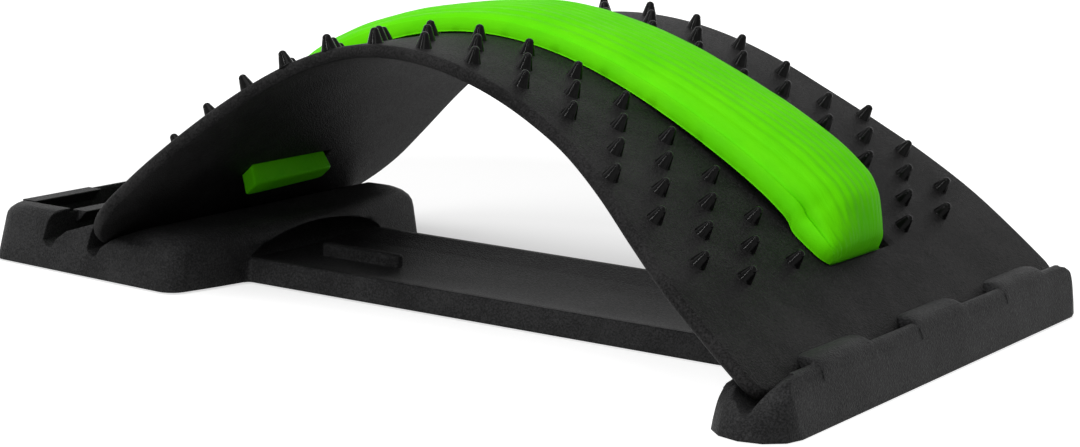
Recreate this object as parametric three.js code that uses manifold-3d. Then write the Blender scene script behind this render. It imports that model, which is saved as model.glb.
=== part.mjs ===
import * as THREE from 'three';
import { mergeVertices } from 'three/addons/utils/BufferGeometryUtils.js';
import Module from 'manifold-3d';

const wasm = await Module();
wasm.setup();

// Lengths are in mm. The parts are drawn with X from the rear edge of the base to the front edge,
// Y across, and Z up from the bottom edge of the base. The whole is moved to its origin at the end.

// Overall sizes and fits
const base_length = 387;
const rail_width = 268;
const fit_gap = 0.3;
const floor_gap = 0.8;
const wall = 2.8;
const rib = 2.2;
const weld = 0.0001;
const overlap_cut = 5;

// Arch board
const board_thickness = 4.93;
const board_width = 258.4;
const arch_rise = 90.13;
const arch_rear_slope = 57.47;
const arch_front_slope = 44.34;
const arch_turn_share = 0.5253;
const arch_rear_spread_share = 0.1932;
const arch_front_spread_share = 0.2059;
const rear_tip_x = 58.9;
const rear_tip_z = 14.5;
const rear_tip_slope = 44.93;
const front_tip_inset = 13.4;
const front_tip_z = 14.06;
const front_tip_slope = 39.25;
const rear_corner = 34;
const front_corner = 9;
const arch_samples = 1200;
const arch_stations = 34;
const tip_stations = 3;
const rear_corner_stations = 6;
const corner_stations = 4;
const board_edge_steps = 4;
// Half-width along the arc as a share of the front half-width: [share of arc, share of width]
const board_waist_share = 0.655;
const board_width_shares = [
  [0, 0.768], [0.07, 0.763], [0.13, 0.747], [0.2, 0.707], [0.255, 0.676], [0.3, 0.659],
  [0.335, board_waist_share], [0.37, 0.659], [0.41, 0.67], [0.46, 0.689], [0.5, 0.704], [0.55, 0.721],
  [0.6, 0.737], [0.65, 0.756], [0.7, 0.781], [0.76, 0.841], [0.82, 0.913], [0.88, 0.968],
  [0.94, 0.99], [1, 1],
];
const slot_length = 9.4;
const slot_width = 50;
const rear_slot_at = 33.4;
const front_slot_inset = 43.2;

// Nubs in staggered columns on both sides of the pad
const nub_radius = 3.1;
const nub_shoulder_radius = 1.95;
const nub_tip_radius = 1.05;
const nub_height = 6.6;
const nub_shoulder = 5.7;
const nub_root = 1;
const nub_first_column = 45.6;
const nub_front_inset = 41.5;
const nub_rear_inset = 61.4;
const nub_rows = [14, 13, 14, 3];
const nub_sides = 8;

// Foam pad
const pad_half_width = 32.4;
const pad_lift = 0.5;
const pad_side_share = 0.66;
const pad_crest = 15.8;
const pad_rise = 3.2;
const pad_rib_height = 0.5;
const pad_side_lean = 0.9;
const pad_seam_step = 0.7;
const pad_ribs = 11;
const pad_end_gap = 0.3;
const pad_tail_drop = 10;
// Form of the pad from either end to its middle: [share of half the length, top as a share of the
// crest, lift off the board as a share of the rise, half-width as a share of the full half-width]
const pad_form_shares = [
  [0, 0.4, 0, 0.76], [0.012, 0.56, 0, 0.84], [0.03, 0.7, 0, 0.89], [0.052, 0.8, 0, 0.92],
  [0.08, 0.87, 0.1, 0.93], [0.112, 0.92, 0.35, 0.935], [0.155, 0.975, 0.82, 0.935], [0.21, 1, 1, 0.94],
  [0.265, 0.985, 1, 0.94], [0.32, 0.93, 0.9, 0.945], [0.37, 0.87, 0.75, 0.95], [0.43, 0.81, 0.58, 0.955],
  [0.5, 0.74, 0.4, 0.965], [0.57, 0.69, 0.25, 0.975], [0.65, 0.645, 0.12, 0.985], [0.74, 0.615, 0.03, 0.995],
  [0.83, 0.6, 0, 1], [0.915, 0.6, 0, 1], [1, 0.6, 0, 1],
];

// Rear block
const block_rear_half = 79;
const block_front_half = 85.5;
const block_mid_depth = 109.8;
const block_bow = 10.6;
const block_top = 22.6;
const block_deck = 21.2;
const block_draft = 5;
const block_low_corner = 7.5;
const block_high_corner = 12;
const block_edge_round = 8.5;
const ridge_edge_round = 5.5;
const block_edge_steps = 5;
const corner_steps = 5;
const bow_steps = 8;

// Level grooves and their retaining lips
const groove_count = 3;
const groove_pitch = 24.5;
const groove_round = 3.25;
const groove_depth = 11.7;
const groove_undercut = 2.7;
const groove_lead = 2.3;
const groove_ramp_slope = 36;
const groove_ramp_run = 7;
const groove_back_slope = 23.3;
const groove_round_steps = 6;
const first_groove_half = 67;
const hook_reach = 4.2;
const hook_depth = 4.7;
const rear_hook_inner = 25;
const rear_hook_outer = 65;
const front_hook_inner = 22;
const front_hook_outer = 62;

// Spine
const spine_half = 46.6;
const spine_lip_outer = 44.6;
const spine_lip_inner = 41.6;
const spine_lip = 9.3;
const trough_floor = 4.4;
const trough_steps = 12;
const trough_power = 2.6;
const spine_skin = 2.2;
const scoop_inset = 0.8;
const scoop_reach = 17;
const scoop_half = 48;
const scoop_height = 14.5;
const bar_length = 39;
const bar_width = 5;
const bar_top = 9.6;
const bar_round = 1.4;
const web_count = 4;
const junction_round = 2.5;

// Front rail
const rail_depth = 31.4;
const rail_lip_run = 6;
const rail_lip = 15.8;
const rail_lip_round = 3.6;
const rail_channel_run = 17;
const rail_channel = 8.5;
const rail_channel_round = 3;
const rail_wall_slope = 61.5;
const rail_wall_foot = 8.6;
const rail_wall_top = 17.4;
const rail_ridge_inset = 6.4;
const rail_ridge = 20.3;
const rail_ridge_round = 2.6;
const rail_shoulder_inset = 2.1;
const rail_shoulder = 13;
const rail_skirt_inset = 1.4;
const rail_skirt = 8;
const rail_curve_steps = 5;
const rail_end_steps = 6;
const rail_skin = 2.6;
const rail_web_pitch = 42;
// Rounded ends of the rail: [share of the local top, depth share, share of the end's reach kept]
const rail_end_shares = [
  [0, 1.01, 1], [0.22, 0.98, 0.98], [0.45, 0.94, 0.94], [0.6, 0.92, 0.86], [0.7, 0.91, 0.75],
  [0.78, 0.9, 0.62], [0.86, 0.9, 0.42], [0.93, 0.9, 0.12], [0.97, 0.9, -0.2], [1.4, 0.9, -0.2],
];
const tab_length = 42;
const tab_side_inset = 56;
const tab_reach = 1.2;
const tab_gap = 1;
const tab_top = 22.5;
const tab_crown_run = 3.2;
const tab_back_run = 9.2;
const tab_foot_run = 10.6;
const tab_foot = 15.4;
const tab_root_run = 4.3;
const tab_curve_steps = 7;
// Ends of a tab: [share of half the length, share of the full section]
const tab_end_shares = [[1, 0.6], [0.94, 0.84], [0.84, 0.96], [0.7, 1]];

// Feet
const foot_radius = 8;
const foot_height = 2.6;
const foot_round = 0.5;
const boss_wall = 2;
const boss_height = 8.2;
const foot_steps = 20;
const rear_foot_x = 17;
const mid_foot_inset = 25.8;
const rail_foot_inset = 15;
const rear_foot_side_inset = 23;
const mid_foot_side_inset = 22;
const rail_foot_side_inset = 30;

const rad = THREE.MathUtils.degToRad;
const tip = board_thickness / 2;

// Places that follow from the sizes above
const front_tip_x = base_length - front_tip_inset;
const rail_start = base_length - rail_depth;
const rail_middle = base_length - rail_depth / 2;
const rail_ridge_x = base_length - rail_ridge_inset;
const rail_lip_x = rail_start + rail_lip_run;
const rail_channel_x = rail_start + rail_channel_run;
const tab_spacing = rail_width / 2 - tab_side_inset;
const scoop_x = block_mid_depth - scoop_inset;
const block_side_depth = block_mid_depth - block_bow;
const mid_foot_x = block_mid_depth - mid_foot_inset;
const rail_foot_x = base_length - rail_foot_inset;
const rear_foot_y = block_rear_half - rear_foot_side_inset;
const mid_foot_y = block_front_half - mid_foot_side_inset;
const rail_foot_y = rail_width / 2 - rail_foot_side_inset;

// Helpers

function welded(geometry) {
  const flat = geometry.index ? geometry.toNonIndexed() : geometry;
  flat.deleteAttribute('normal');
  flat.deleteAttribute('uv');
  return mergeVertices(flat, weld);
}

function solid(geometry) {
  const clean = welded(geometry);
  return new wasm.Manifold(new wasm.Mesh({
    numProp: 3,
    vertProperties: Float32Array.from(clean.attributes.position.array),
    triVerts: Uint32Array.from(clean.index.array),
  }));
}

function geometryOf(body) {
  const mesh = body.getMesh();
  const geometry = new THREE.BufferGeometry();
  geometry.setAttribute('position', new THREE.BufferAttribute(Float32Array.from(mesh.vertProperties), 3));
  geometry.setIndex(new THREE.BufferAttribute(Uint32Array.from(mesh.triVerts), 1));
  return geometry;
}

// Faces of an end cap, turned so that they look along the wanted direction
function capFaces(ring, offset, direction) {
  const side = Math.abs(direction.z) > Math.abs(direction.x) && Math.abs(direction.z) > Math.abs(direction.y);
  const along = !side && Math.abs(direction.x) > Math.abs(direction.y);
  const flat = ring.map((p) => {
    if (side) return new THREE.Vector2(p.x, p.y);
    if (along) return new THREE.Vector2(p.y, p.z);
    return new THREE.Vector2(p.x, p.z);
  });
  const faces = THREE.ShapeUtils.triangulateShape(flat, []);
  const one = new THREE.Vector3();
  const two = new THREE.Vector3();
  return faces.map(([a, b, c]) => {
    one.subVectors(ring[b], ring[a]);
    two.subVectors(ring[c], ring[a]);
    const out = one.cross(two).dot(direction) > 0;
    return out ? [a + offset, b + offset, c + offset] : [a + offset, c + offset, b + offset];
  });
}

// Closed skin over a row of rings that all have the same number of points
function loft(rings) {
  const count = rings[0].length;
  const positions = [];
  rings.forEach((ring) => ring.forEach((p) => positions.push(p.x, p.y, p.z)));
  const faces = [];
  for (let i = 0; i < rings.length - 1; i += 1) {
    for (let j = 0; j < count; j += 1) {
      const k = (j + 1) % count;
      const a = i * count + j;
      const b = i * count + k;
      const c = (i + 1) * count + k;
      const d = (i + 1) * count + j;
      faces.push([a, b, c], [a, c, d]);
    }
  }
  const first = rings[0];
  const last = rings[rings.length - 1];
  const centre = (ring) => ring.reduce((sum, p) => sum.add(p), new THREE.Vector3()).divideScalar(ring.length);
  const travel = new THREE.Vector3().subVectors(centre(last), centre(first)).normalize();
  const lastFaces = capFaces(last, (rings.length - 1) * count, travel);
  const firstFaces = capFaces(first, 0, travel.clone().negate());
  const follows = ([a, b]) => b === (a + 1) % count;
  const flipped = firstFaces.some(([a, b, c]) => [[a, b], [b, c], [c, a]].some(follows));
  const sides = flipped ? faces.map(([a, b, c]) => [a, c, b]) : faces;
  const geometry = new THREE.BufferGeometry();
  geometry.setAttribute('position', new THREE.Float32BufferAttribute(positions, 3));
  geometry.setIndex([...sides, ...lastFaces, ...firstFaces].flat());
  return solid(geometry);
}

// Profile in X and Z carried across in Y from one side to the other
function across(points, from, to) {
  const shape = new THREE.Shape(points.map(([x, z]) => new THREE.Vector2(x, z)));
  const geometry = new THREE.ExtrudeGeometry(shape, { depth: to - from, bevelEnabled: false });
  geometry.rotateX(Math.PI / 2);
  geometry.translate(0, to, 0);
  return solid(geometry);
}

// Section in Y and Z carried along X
function lengthwise(points, from, to) {
  const shape = new THREE.Shape(points.map(([y, z]) => new THREE.Vector2(y, z)));
  const geometry = new THREE.ExtrudeGeometry(shape, { depth: to - from, bevelEnabled: false });
  geometry.rotateX(Math.PI / 2);
  geometry.rotateZ(Math.PI / 2);
  geometry.translate(from, 0, 0);
  return solid(geometry);
}

function boxed(x0, x1, y0, y1, z0, z1) {
  const geometry = new THREE.BoxGeometry(x1 - x0, y1 - y0, z1 - z0);
  geometry.translate((x0 + x1) / 2, (y0 + y1) / 2, (z0 + z1) / 2);
  return solid(geometry);
}

function post(radius, z0, z1, x, y, steps) {
  const geometry = new THREE.CylinderGeometry(radius, radius, z1 - z0, steps);
  geometry.rotateX(Math.PI / 2);
  geometry.translate(x, y, (z0 + z1) / 2);
  return solid(geometry);
}

function join(bodies) {
  return bodies.reduce((sum, body) => sum.add(body));
}

function lookup(shares, at) {
  const last = shares.length - 1;
  if (at <= shares[0][0]) return shares[0][1];
  for (let i = 1; i <= last; i += 1) {
    if (at <= shares[i][0]) {
      const [a, u] = shares[i - 1];
      const [b, v] = shares[i];
      const before = i > 1 ? shares[i - 2] : shares[i - 1];
      const after = i < last ? shares[i + 1] : shares[i];
      const slopeIn = (v - before[1]) / (b - before[0]);
      const slopeOut = (after[1] - u) / (after[0] - a);
      const t = (at - a) / (b - a);
      const h = b - a;
      return u * (1 + 2 * t) * (1 - t) ** 2 + v * t * t * (3 - 2 * t)
        + h * slopeIn * t * (1 - t) ** 2 - h * slopeOut * t * t * (1 - t);
    }
  }
  return shares[last][1];
}

// The arch

// The slope of the board's top falls along its arc from a rear limit to a front limit by a smooth
// step. Summing that slope gives the unit curve, which is laid on the chord between the two tips.
function archTable() {
  const start = {
    x: rear_tip_x - tip * Math.sin(rad(rear_tip_slope)),
    z: rear_tip_z + tip * Math.cos(rad(rear_tip_slope)),
  };
  const end = {
    x: front_tip_x + tip * Math.sin(rad(front_tip_slope)),
    z: front_tip_z + tip * Math.cos(rad(front_tip_slope)),
  };
  const mean = (arch_rear_slope - arch_front_slope) / 2;
  const swing = (arch_rear_slope + arch_front_slope) / 2;
  const xs = [0];
  const zs = [0];
  for (let i = 0; i < arch_samples; i += 1) {
    const t = (i + 0.5) / arch_samples;
    const spread = t < arch_turn_share ? arch_rear_spread_share : arch_front_spread_share;
    const slope = rad(mean - swing * Math.tanh((t - arch_turn_share) / spread));
    xs.push(xs[i] + Math.cos(slope));
    zs.push(zs[i] + Math.sin(slope));
  }
  const run = xs[arch_samples];
  const level = zs.map((z, i) => z - (zs[arch_samples] * xs[i]) / run);
  const peak = Math.max(...level);
  const points = xs.map((x, i) => ({
    x: start.x + ((end.x - start.x) * x) / run,
    z: start.z + ((end.z - start.z) * x) / run + (arch_rise * level[i]) / peak,
  }));
  let length = 0;
  points.forEach((p, i) => {
    if (i > 0) length += Math.hypot(p.x - points[i - 1].x, p.z - points[i - 1].z);
    p.s = length;
  });
  return points;
}

const arch = archTable();
const arc = arch[arch.length - 1].s;
const front_slot_at = arc - front_slot_inset;
const nub_first_row = arc - nub_front_inset;
const nub_row_pitch = (nub_first_row - nub_rear_inset) / (nub_rows[0] - 1);
const nub_column_pitch = ((board_width / 2) * board_waist_share - nub_radius - nub_first_column) / 2;
const pad_rear_end = rear_slot_at + pad_end_gap;
const pad_front_end = front_slot_at + slot_length - pad_end_gap;

// Frame on the board's top at arc distance s: place, direction forward and outward normal
function archAt(s) {
  const held = Math.min(Math.max(s, 0), arc);
  let i = 1;
  while (i < arch.length - 1 && arch[i].s < held) i += 1;
  const a = arch[i - 1];
  const b = arch[i];
  const t = (held - a.s) / (b.s - a.s);
  const before = arch[Math.max(i - 9, 0)];
  const after = arch[Math.min(i + 8, arch.length - 1)];
  const size = Math.hypot(after.x - before.x, after.z - before.z);
  const dx = (after.x - before.x) / size;
  const dz = (after.z - before.z) / size;
  const over = s - held;
  return { x: a.x + (b.x - a.x) * t + over * dx, z: a.z + (b.z - a.z) * t + over * dz, dx, dz };
}

function onArch(s, y, height) {
  const f = archAt(s);
  return new THREE.Vector3(f.x - height * f.dz, y, f.z + height * f.dx);
}

function halfWidth(s) {
  const share = Math.min(Math.max(s / arc, 0), 1);
  const plain = (board_width / 2) * lookup(board_width_shares, share);
  const rear = s + tip;
  const front = arc + tip - s;
  if (rear < rear_corner) return plain - rear_corner + Math.sqrt(rear_corner ** 2 - (rear_corner - rear) ** 2);
  if (front < front_corner) return plain - front_corner + Math.sqrt(front_corner ** 2 - (front_corner - front) ** 2);
  return plain;
}

function boardStations() {
  const rows = [];
  const reach = Math.PI / 2;
  for (let i = 0; i < tip_stations; i += 1) {
    const turn = reach * (1 - (i + 0.35) / tip_stations);
    rows.push({ s: -tip * Math.sin(turn), half: tip * Math.cos(turn) });
  }
  const begin = Math.acos(1 - tip / rear_corner);
  for (let i = 0; i < rear_corner_stations; i += 1) {
    const turn = begin + ((reach - begin) * i) / rear_corner_stations;
    rows.push({ s: rear_corner * (1 - Math.cos(turn)) - tip, half: tip });
  }
  const from = rear_corner - tip;
  const to = arc - front_corner + tip;
  for (let i = 0; i <= arch_stations; i += 1) rows.push({ s: from + ((to - from) * i) / arch_stations, half: tip });
  for (let i = 1; i <= corner_stations; i += 1) rows.push({ s: to + ((arc - to) * i) / corner_stations, half: tip });
  for (let i = 1; i <= tip_stations; i += 1) {
    const turn = reach * ((i - 0.35) / tip_stations);
    rows.push({ s: arc + tip * Math.sin(turn), half: tip * Math.cos(turn) });
  }
  return rows;
}

function boardPlate() {
  const rings = boardStations().map(({ s, half }) => {
    const width = halfWidth(s) - tip;
    const ring = [];
    for (const way of [1, -1]) {
      for (let i = 0; i <= board_edge_steps; i += 1) {
        const turn = (Math.PI * i) / board_edge_steps;
        const lift = way > 0 ? Math.cos(turn) : -Math.cos(turn);
        ring.push(onArch(s, way * (width + tip * Math.sin(turn)), half * lift - tip));
      }
    }
    return ring;
  });
  return loft(rings);
}

// Slot through the board, square to its surface
function slotCutter(from, length, width, above, below) {
  const mid = archAt(from + length / 2);
  const corner = (along, height) => [
    mid.x + along * mid.dx - height * mid.dz,
    mid.z + along * mid.dz + height * mid.dx,
  ];
  const half = length / 2;
  const section = [corner(-half, -below), corner(half, -below), corner(half, above), corner(-half, above)];
  return across(section, -width / 2, width / 2);
}

function nub(s, y) {
  const levels = [
    [-nub_root, nub_radius],
    [0, nub_radius],
    [nub_shoulder, nub_shoulder_radius],
    [nub_height, nub_tip_radius],
  ];
  const f = archAt(s);
  const rings = levels.map(([height, radius]) => {
    const ring = [];
    for (let i = 0; i < nub_sides; i += 1) {
      const turn = (2 * Math.PI * (i + 0.5)) / nub_sides;
      const along = radius * Math.cos(turn);
      const x = f.x + along * f.dx - height * f.dz;
      const z = f.z + along * f.dz + height * f.dx;
      ring.push(new THREE.Vector3(x, y + radius * Math.sin(turn), z));
    }
    return ring;
  });
  return loft(rings);
}

function nubPlaces() {
  const places = [];
  nub_rows.forEach((rows, column) => {
    const y = nub_first_column + column * nub_column_pitch;
    const first = nub_first_row - (column % 2) * (nub_row_pitch / 2);
    for (let row = 0; row < rows; row += 1) {
      places.push([first - row * nub_row_pitch, y], [first - row * nub_row_pitch, -y]);
    }
  });
  return places;
}

function archBoard() {
  const above = board_thickness;
  const below = board_thickness * 2;
  const plate = boardPlate()
    .subtract(slotCutter(rear_slot_at, slot_length, slot_width, above, below))
    .subtract(slotCutter(front_slot_at, slot_length, slot_width, above, below));
  return join([plate, ...nubPlaces().map(([s, y]) => nub(s, y))]);
}

// Foam pad

// Level of the pad at a share of its whole length: one column of the form table
function padForm(share, column) {
  const near = 1 - Math.abs(2 * share - 1);
  return lookup(pad_form_shares.map((row) => [row[0], row[column]]), near);
}

function padRing(s, low, top, half) {
  const ring = [];
  const side = low + (top - low) * pad_side_share;
  const lean = pad_side_lean;
  const crown = top - side;
  const rib = Math.min(pad_rib_height, crown / 2);
  const inner = half - lean - pad_seam_step;
  ring.push(onArch(s, -half, low));
  ring.push(onArch(s, -half + lean, side));
  const steps = pad_ribs * 2;
  for (let i = 0; i <= steps; i += 1) {
    const share = (2 * i) / steps - 1;
    const groove = i % 2 === 0 ? 0 : rib;
    const arched = crown * (1 - Math.abs(share) ** 3) - rib;
    ring.push(onArch(s, inner * share, side + Math.max(arched, 0) + (i === 0 || i === steps ? 0 : groove)));
  }
  ring.push(onArch(s, half - lean, side));
  ring.push(onArch(s, half, low));
  return ring;
}

function foamPad() {
  const span = pad_front_end - pad_rear_end;
  const near_shares = pad_form_shares.map((row) => row[0] / 2);
  const far_shares = [...near_shares].reverse().slice(1).map((share) => 1 - share);
  const rings = [...near_shares, ...far_shares].map((share) => {
    const low = pad_lift + pad_rise * padForm(share, 2);
    return padRing(pad_rear_end + span * share, low, pad_crest * padForm(share, 1), pad_half_width * padForm(share, 3));
  });
  const plug = slot_length - 2 * fit_gap;
  const reach = (pad_lift + pad_crest * pad_form_shares[0][1]) / 2;
  const tail = board_thickness + pad_tail_drop;
  const width = slot_width - 2 * fit_gap;
  const tails = [rear_slot_at, front_slot_at].map((from) => (
    slotCutter(from + fit_gap, plug, width, reach, tail)));
  return join([loft(rings), ...tails]);
}

// Rear block

// Plan outline drawn in by an inset, with corners of the given radius. The front edge bows forward.
function blockOutline(inset, radius) {
  const bow = (block_front_half ** 2 + block_bow ** 2) / (2 * block_bow);
  const bowX = block_mid_depth - bow;
  const lean = Math.atan2(block_front_half - block_rear_half, block_side_depth);
  const sideNormal = new THREE.Vector2(-Math.sin(lean), Math.cos(lean));
  const sideAlong = new THREE.Vector2(Math.cos(lean), Math.sin(lean));
  const reach = sideNormal.y * block_rear_half - inset - radius;
  const rear = sideNormal.clone().multiplyScalar(reach);
  rear.addScaledVector(sideAlong, (inset + radius - rear.x) / sideAlong.x);
  const base = sideNormal.clone().multiplyScalar(reach);
  base.x -= bowX;
  const b = base.dot(sideAlong);
  const c = base.lengthSq() - (bow - inset - radius) ** 2;
  const t = -b + Math.sqrt(b * b - c);
  const front = base.clone().addScaledVector(sideAlong, t);
  const bowEnd = Math.atan2(front.y, front.x);
  front.x += bowX;
  const sideTurn = Math.atan2(sideNormal.y, sideNormal.x);
  const half = [];
  const arcPoint = (centre, size, turn) => half.push([
    centre.x + size * Math.cos(turn),
    centre.y + size * Math.sin(turn),
  ]);
  for (let i = 0; i <= corner_steps; i += 1) {
    arcPoint(rear, radius, Math.PI + ((sideTurn - Math.PI) * i) / corner_steps);
  }
  for (let i = 0; i <= corner_steps; i += 1) {
    arcPoint(front, radius, sideTurn + ((bowEnd - sideTurn) * i) / corner_steps);
  }
  for (let i = 1; i < bow_steps; i += 1) {
    arcPoint(new THREE.Vector2(bowX, 0), bow - inset, bowEnd * (1 - i / bow_steps));
  }
  const middle = [block_mid_depth - inset, 0];
  const other = [...half].reverse().map(([x, y]) => [x, -y]);
  return [...half, middle, ...other];
}

// Drafted block with a rounded top edge. A larger inset gives the matching inner form.
function blockForm(inset, floor, top, round) {
  const draft = Math.tan(rad(block_draft));
  const ringAt = (z, turned) => {
    const share = Math.max(z, 0) / block_top;
    const radius = block_low_corner + (block_high_corner - block_low_corner) * share - inset;
    return blockOutline(inset + draft * z + turned, radius).map(([x, y]) => new THREE.Vector3(x, y, z));
  };
  const shoulder = top - round;
  const rings = [ringAt(floor, 0), ringAt(shoulder, 0)];
  for (let i = 1; i <= block_edge_steps; i += 1) {
    const turn = ((Math.PI / 2) * i) / block_edge_steps;
    const back = draft * round * Math.sin(turn);
    rings.push(ringAt(shoulder + round * Math.sin(turn), round * (1 - Math.cos(turn)) - back));
  }
  return loft(rings);
}

const ridge_face = rear_tip_x - tip - fit_gap;
const groove_centre_x = ridge_face - groove_undercut + groove_round;
const ramp_x = rear_tip_x + (tip + fit_gap) * Math.sin(rad(groove_ramp_slope));
const ramp_z = rear_tip_z - (tip + fit_gap) * Math.cos(rad(groove_ramp_slope));
const knee_x = ramp_x + groove_ramp_run * Math.cos(rad(groove_ramp_slope));
const knee_z = ramp_z + groove_ramp_run * Math.sin(rad(groove_ramp_slope));

// Space over one groove: undercut ridge face, rounded bottom, steep ramp, then the gentler back
// of the next ridge. The line of the ramp touches the board's tip with the fit gap.
function grooveProfile(shift, backTo, roof) {
  const points = [[ridge_face - shift, roof], [ridge_face - shift, block_deck]];
  const cx = groove_centre_x - shift;
  const slope = rad(groove_ramp_slope);
  const drop = (ramp_x - cx + shift - shift) * Math.sin(slope) - (ramp_z - groove_depth) * Math.cos(slope);
  for (let i = 0; i <= groove_round_steps; i += 1) {
    const turn = Math.PI + ((Math.PI / 2 + slope) * i) / groove_round_steps;
    points.push([cx + groove_round * Math.cos(turn), groove_depth + groove_round * Math.sin(turn)]);
  }
  if (drop < 0) points.pop();
  points.push([ramp_x - shift, ramp_z], [knee_x - shift, knee_z]);
  const rise = Math.tan(rad(groove_back_slope));
  points.push([backTo, Math.min(knee_z + rise * (backTo - knee_x + shift), block_deck)]);
  points.push([backTo, roof]);
  return points;
}

const deck_start = knee_x + (block_deck - knee_z) / Math.tan(rad(groove_back_slope));

function grooveCutters() {
  const roof = block_top + overlap_cut;
  const side = block_front_half + overlap_cut;
  const cutters = [];
  for (let i = 0; i < groove_count; i += 1) {
    const shift = i * groove_pitch;
    const width = i === groove_count - 1 ? first_groove_half : side;
    const backTo = i === 0 ? deck_start : ridge_face - shift + groove_pitch;
    cutters.push(across(grooveProfile(shift, backTo, roof), -width, width));
  }
  const far = block_mid_depth + overlap_cut;
  const deck = [[deck_start, block_deck], [far, block_deck], [far, roof], [deck_start, roof]];
  cutters.push(across(deck, -side, side));
  return cutters;
}

// Triangular lips that reach forward over a groove from the ridge behind it
function hooks() {
  const list = [];
  const spans = [
    [groove_pitch * 2, rear_hook_inner, rear_hook_outer, block_top],
    [groove_pitch, front_hook_inner, front_hook_outer, block_deck],
  ];
  for (const [shift, inner, outer, top] of spans) {
    const x = ridge_face - shift;
    const profile = [[x - wall, top], [x - wall, top - hook_depth], [x - fit_gap, top - hook_depth],
      [x + hook_reach, top - fit_gap], [x + hook_reach, top]];
    list.push(across(profile, inner, outer), across(profile, -outer, -inner));
  }
  return list;
}

// Spine

function troughHeight(y) {
  return trough_floor + (spine_lip - trough_floor) * (Math.abs(y) / spine_lip_inner) ** trough_power;
}

function troughLine(half, drop) {
  const line = [];
  for (let i = 0; i <= trough_steps; i += 1) {
    const y = half * (1 - (2 * i) / trough_steps);
    line.push([y, troughHeight(y) - drop]);
  }
  return line;
}

function spineBody() {
  const section = [[-spine_half, 0], [spine_half, 0], [spine_lip_outer + fit_gap, spine_lip - 2 * fit_gap],
    [spine_lip_outer - fit_gap, spine_lip], ...troughLine(spine_lip_inner, 0),
    [-spine_lip_outer + fit_gap, spine_lip], [-spine_lip_outer - fit_gap, spine_lip - 2 * fit_gap]];
  return lengthwise(section, scoop_x - scoop_reach * 2, rail_lip_x);
}

// Scoop that sweeps the trough up into the front wall of the block
function scoop() {
  const ball = new THREE.SphereGeometry(1, 28, 20);
  ball.scale(scoop_reach, scoop_half, scoop_height);
  ball.translate(scoop_x, 0, trough_floor);
  const above = [...troughLine(spine_lip_inner, 0), [-scoop_half, spine_lip], [-scoop_half, block_top],
    [scoop_half, block_top], [scoop_half, spine_lip]];
  return solid(ball).intersect(lengthwise(above, scoop_x - scoop_reach * 2, scoop_x + scoop_reach * 2));
}

function bar() {
  const half = bar_width / 2;
  const low = trough_floor - spine_skin / 2;
  const rings = [[low, 0], [bar_top - bar_round, 0], [bar_top - bar_round * 0.3, bar_round * 0.3],
    [bar_top, bar_round]].map(([z, inset]) => {
    const ring = [];
    for (const [cx, way] of [[scoop_x + bar_length - half, 0], [scoop_x + half, Math.PI]]) {
      for (let i = 0; i <= corner_steps; i += 1) {
        const turn = way - Math.PI / 2 + (Math.PI * i) / corner_steps;
        ring.push(new THREE.Vector3(cx + (half - inset) * Math.cos(turn), (half - inset) * Math.sin(turn), z));
      }
    }
    return ring;
  });
  return loft(rings);
}

// Rounded inside corner between the front wall of the block and the side of the spine
function junctions() {
  const sideDrop = (spine_half - spine_lip_outer) / spine_lip;
  const draft = Math.tan(rad(block_draft));
  const top = spine_lip - 3 * fit_gap;
  const list = [];
  for (const way of [1, -1]) {
    const rings = [0, top].map((z) => {
      const side = spine_half - sideDrop * z;
      const front = block_mid_depth - block_bow * (spine_half / block_front_half) ** 2 - draft * z;
      const ring = [new THREE.Vector3(front - wall, way * (side - wall), z)];
      ring.push(new THREE.Vector3(front - wall, way * (side + junction_round), z));
      for (let i = 0; i <= corner_steps; i += 1) {
        const turn = ((Math.PI / 2) * i) / corner_steps;
        const x = front + junction_round * (1 - Math.cos(turn));
        const y = side + junction_round * (1 - Math.sin(turn));
        ring.push(new THREE.Vector3(x, way * y, z));
      }
      ring.push(new THREE.Vector3(front + junction_round, way * (side - wall), z));
      return ring;
    });
    list.push(loft(rings));
  }
  return list;
}

// Front rail

const wall_turn = rad(rail_wall_slope);
const wall_foot_x = front_tip_x + (tip + fit_gap) * Math.sin(wall_turn)
  + (rail_wall_foot - front_tip_z + (tip + fit_gap) * Math.cos(wall_turn)) / Math.tan(wall_turn);
const wall_top_x = wall_foot_x + (rail_wall_top - rail_wall_foot) / Math.tan(wall_turn);

// Form that rounds both ends of the rail, in plan and over the top
function railForm() {
  const reach = rail_depth / 2;
  const straight = rail_width / 2 - reach;
  const slope = (rail_ridge - rail_lip) / (rail_ridge_x - rail_lip_x);
  const rings = rail_end_shares.map(([level, depth, kept]) => {
    const ring = [];
    for (const way of [1, -1]) {
      for (let i = 0; i <= rail_end_steps; i += 1) {
        const turn = (Math.PI * i) / rail_end_steps;
        const x = rail_middle + way * reach * depth * Math.cos(turn);
        const y = way * (straight + reach * kept * Math.sin(turn));
        ring.push(new THREE.Vector3(x, y, level * (rail_lip + slope * (x - rail_lip_x))));
      }
    }
    return ring;
  });
  return loft(rings);
}

function arcPoints(cx, cz, radius, from, to, steps) {
  const points = [];
  for (let i = 0; i <= steps; i += 1) {
    const turn = rad(from + ((to - from) * i) / steps);
    points.push([cx + radius * Math.cos(turn), cz + radius * Math.sin(turn)]);
  }
  return points;
}

function curvePoints(places, steps) {
  const curve = new THREE.CubicBezierCurve(...places.map(([x, z]) => new THREE.Vector2(x, z)));
  return curve.getPoints(steps).map((p) => [p.x, p.y]);
}

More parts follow.
